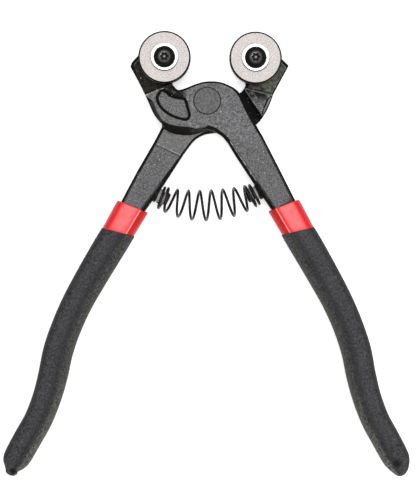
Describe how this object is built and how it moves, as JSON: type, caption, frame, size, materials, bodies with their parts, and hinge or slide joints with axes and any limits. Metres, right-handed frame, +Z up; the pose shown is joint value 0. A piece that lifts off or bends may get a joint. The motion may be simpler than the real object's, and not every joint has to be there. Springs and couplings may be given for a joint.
{
  "type": "wheeled glass nippers",
  "caption": "Hand nippers for mosaic glass: lap-jointed forged levers on a flush rivet, a cutting wheel on each jaw, a barrel spring between the arms and dipped two-layer grips.",
  "frame": {"origin": "centre of the overall bounding box in plan, at the level surface the tool lies on", "axes": "+X to the tool's right, +Y from the handles towards the jaws, +Z up through the pivot, out of the face that shows the rivet and the screws"},
  "size_m": [0.173, 0.1892, 0.0167],
  "materials": {
    "forged_steel": "fine-blasted drop-forged steel with a dark phosphate coat",
    "rivet_steel": "dark ground rivet head",
    "wheel_carbide": "fine-ground carbide faces with a dark lapped rim",
    "washer_plate": "bright zinc plate",
    "black_oxide": "black oxide",
    "spring_steel": "dark drawn spring wire",
    "red_plastic": "glossy red vinyl",
    "black_rubber": "matte black with a fine pebbled skin"
  },
  "bodies": {
    "front_half": {"front_lever": "forged_steel", "pivot_rivet": "rivet_steel", "left_wheel_washer": "washer_plate", "left_wheel_screw": "black_oxide", "right_spring_stud": "black_oxide", "right_red_sleeve": "red_plastic", "right_black_grip": "black_rubber", "return_spring": "spring_steel"},
    "back_half": {"back_lever": "forged_steel", "right_wheel_washer": "washer_plate", "right_wheel_screw": "black_oxide", "left_spring_stud": "black_oxide", "left_red_sleeve": "red_plastic", "left_black_grip": "black_rubber"},
    "left_wheel": {"left_wheel": "wheel_carbide"},
    "right_wheel": {"right_wheel": "wheel_carbide"}
  },
  "joints": [
    {"name": "jaw_pivot", "type": "hinge", "parent": "front_half", "child": "back_half", "pos_m": [0, 0.0652, 0.007], "axis": [0, 0, 1], "range_deg": [0, 42.8], "stiffness_Nm_per_rad": 1.2, "springref_deg": -5.73, "deforming": ["return_spring"]},
    {"name": "left_wheel_turn", "type": "hinge", "parent": "front_half", "child": "left_wheel", "pos_m": [-0.0181, 0.0837, 0.0101], "axis": [0, 0, 1], "continuous": true},
    {"name": "right_wheel_turn", "type": "hinge", "parent": "back_half", "child": "right_wheel", "pos_m": [0.0205, 0.0834, 0.0101], "axis": [0, 0, 1], "continuous": true}
  ]
}
